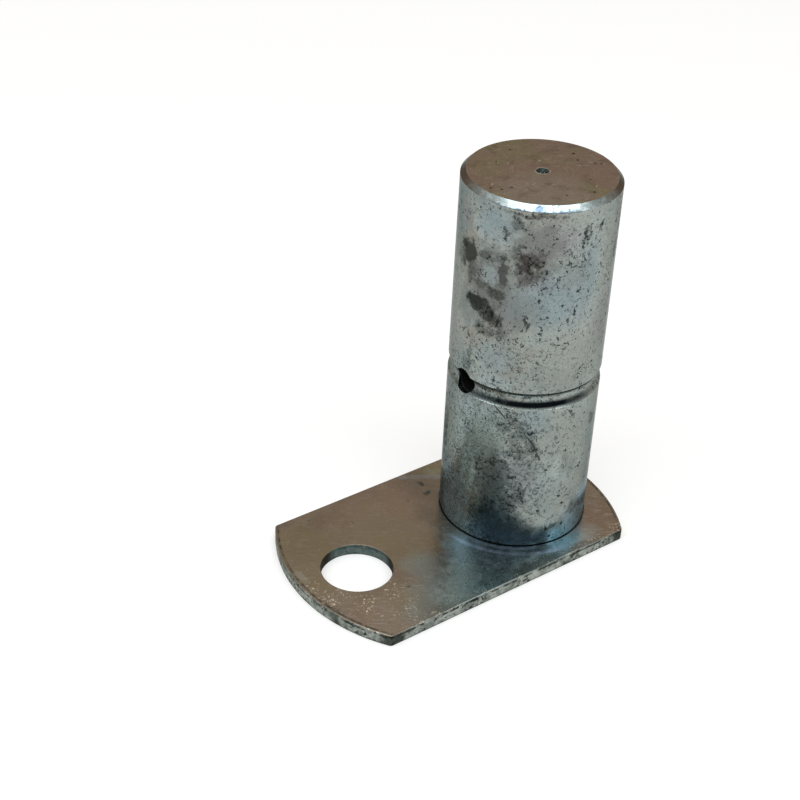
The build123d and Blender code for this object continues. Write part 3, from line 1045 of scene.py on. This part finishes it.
# Studio floor
# A large pale sheet under the pin. It looks white to the camera and in the metal, and its own matt
# grey carries the soft shadow.

floor_half = 12.0
floor_drop = 0.02
floor_grey = (0.60, 0.60, 0.60, 1.0)
floor_white = (1.0, 1.0, 1.0, 1.0)
floor_glow = 0.455


def studio_floor():
    level = plate_low.z - floor_drop * MM
    corners = [(-1, -1), (1, -1), (1, 1), (-1, 1)]
    mesh = bpy.data.meshes.new("studio_floor")
    mesh.from_pydata([(x * floor_half, y * floor_half, level) for x, y in corners], [], [(0, 1, 2, 3)])
    floor = bpy.data.objects.new("studio_floor", mesh)
    bpy.context.scene.collection.objects.link(floor)
    finish = bpy.data.materials.new("floor_paper")
    finish.use_nodes = True
    tree = finish.node_tree
    tree.nodes.clear()
    paper = put(tree, "ShaderNodeBsdfDiffuse", {"Color": floor_grey})
    glow = put(tree, "ShaderNodeEmission", {"Color": floor_white, "Strength": floor_glow})
    rays = put(tree, "ShaderNodeLightPath").outputs
    mirrored = maths(tree, "MAXIMUM", rays["Is Glossy Ray"], rays["Is Transmission Ray"])
    shown = maths(tree, "MAXIMUM", rays["Is Camera Ray"], mirrored)
    both = put(tree, "ShaderNodeAddShader", {0: paper.outputs[0], 1: glow.outputs[0]})
    mixed = put(tree, "ShaderNodeMixShader", {0: shown, 1: paper.outputs[0], 2: both.outputs[0]})
    output = tree.nodes.new("ShaderNodeOutputMaterial")
    tree.links.new(mixed.outputs[0], output.inputs["Surface"])
    floor.data.materials.append(finish)
    return floor


studio_floor()


# Studio light
# A broad soft box overhead towards the camera, which the chamfer catches, in a plain room that is
# warm behind the pin and cool in front of it.

soft_box_height = 0.90
soft_box_forward = 0.42
soft_box_wide = 2.1
soft_box_deep = 0.38
soft_box_power = 8.0
soft_box_colour = (0.94, 0.995, 1.0)
camera_side = Vector((-0.611, -0.791, 0.0))
room_behind = (0.60, 0.56, 0.51)
room_in_front = (0.32, 0.37, 0.41)
room_above = (0.84, 0.80, 0.76)


def overhead_box():
    lamp = bpy.data.lights.new("overhead_box", "AREA")
    lamp.shape = "RECTANGLE"
    lamp.size = soft_box_wide
    lamp.size_y = soft_box_deep
    lamp.energy = soft_box_power
    lamp.color = soft_box_colour
    holder = bpy.data.objects.new("overhead_box", lamp)
    holder.location = camera_side * soft_box_forward + Vector((0.0, 0.0, soft_box_height))
    holder.rotation_euler = (0.0, 0.0, math.atan2(camera_side.y, camera_side.x) + math.pi / 2)
    bpy.context.scene.collection.objects.link(holder)


def studio_room():
    room = bpy.data.worlds.new("studio_room")
    bpy.context.scene.world = room
    room.use_nodes = True
    tree = room.node_tree
    tree.nodes.clear()
    direction = put(tree, "ShaderNodeTexCoord").outputs["Generated"]
    toward = vector(tree, "DOT_PRODUCT", direction, tuple(camera_side))
    rise = parts_of(tree, direction)[2]
    colour = tint(tree, ramp(tree, toward, -0.6, 0.5), room_behind, room_in_front)
    colour = tint(tree, ramp(tree, rise, 0.56, 0.72), colour, room_above)
    background = put(tree, "ShaderNodeBackground", {"Color": colour, "Strength": 1.0})
    output = tree.nodes.new("ShaderNodeOutputWorld")
    tree.links.new(background.outputs[0], output.inputs["Surface"])


overhead_box()
studio_room()


# Camera
# It stands where the photograph was taken: in front of the bolt hole's end and to the left,
# looking down at the pin with a slight roll.

photo_width = 800
focal_pixels = 1584.07
sensor_width = 36.0
nearest_seen = 0.01
camera_turn = math.radians(-37.694)
camera_pitch = math.radians(33.443)
camera_roll = math.radians(2.589)
camera_distance = 402.10
aim_aside = -30.541
aim_height = 33.485 - plate_thickness

backward = Vector((
    math.sin(camera_turn) * math.cos(camera_pitch),
    -math.cos(camera_turn) * math.cos(camera_pitch),
    math.sin(camera_pitch),
))
sideways = Vector((math.cos(camera_turn), math.sin(camera_turn), 0.0))
upright = backward.cross(sideways)
rolled_side = math.cos(camera_roll) * sideways + math.sin(camera_roll) * upright
rolled_up = -math.sin(camera_roll) * sideways + math.cos(camera_roll) * upright
standpoint = (Vector((0, 0, aim_height)) + sideways * aim_aside + backward * camera_distance) * MM

lens = bpy.data.cameras.new("camera")
lens.sensor_width = sensor_width
lens.lens = focal_pixels * sensor_width / photo_width
lens.clip_start = nearest_seen
camera = bpy.data.objects.new("camera", lens)
looking = Matrix((rolled_side, rolled_up, backward)).transposed().to_4x4()
camera.matrix_world = Matrix.Translation(standpoint) @ looking
bpy.context.scene.collection.objects.link(camera)
bpy.context.scene.camera = camera
bpy.context.scene.view_settings.view_transform = "Standard"
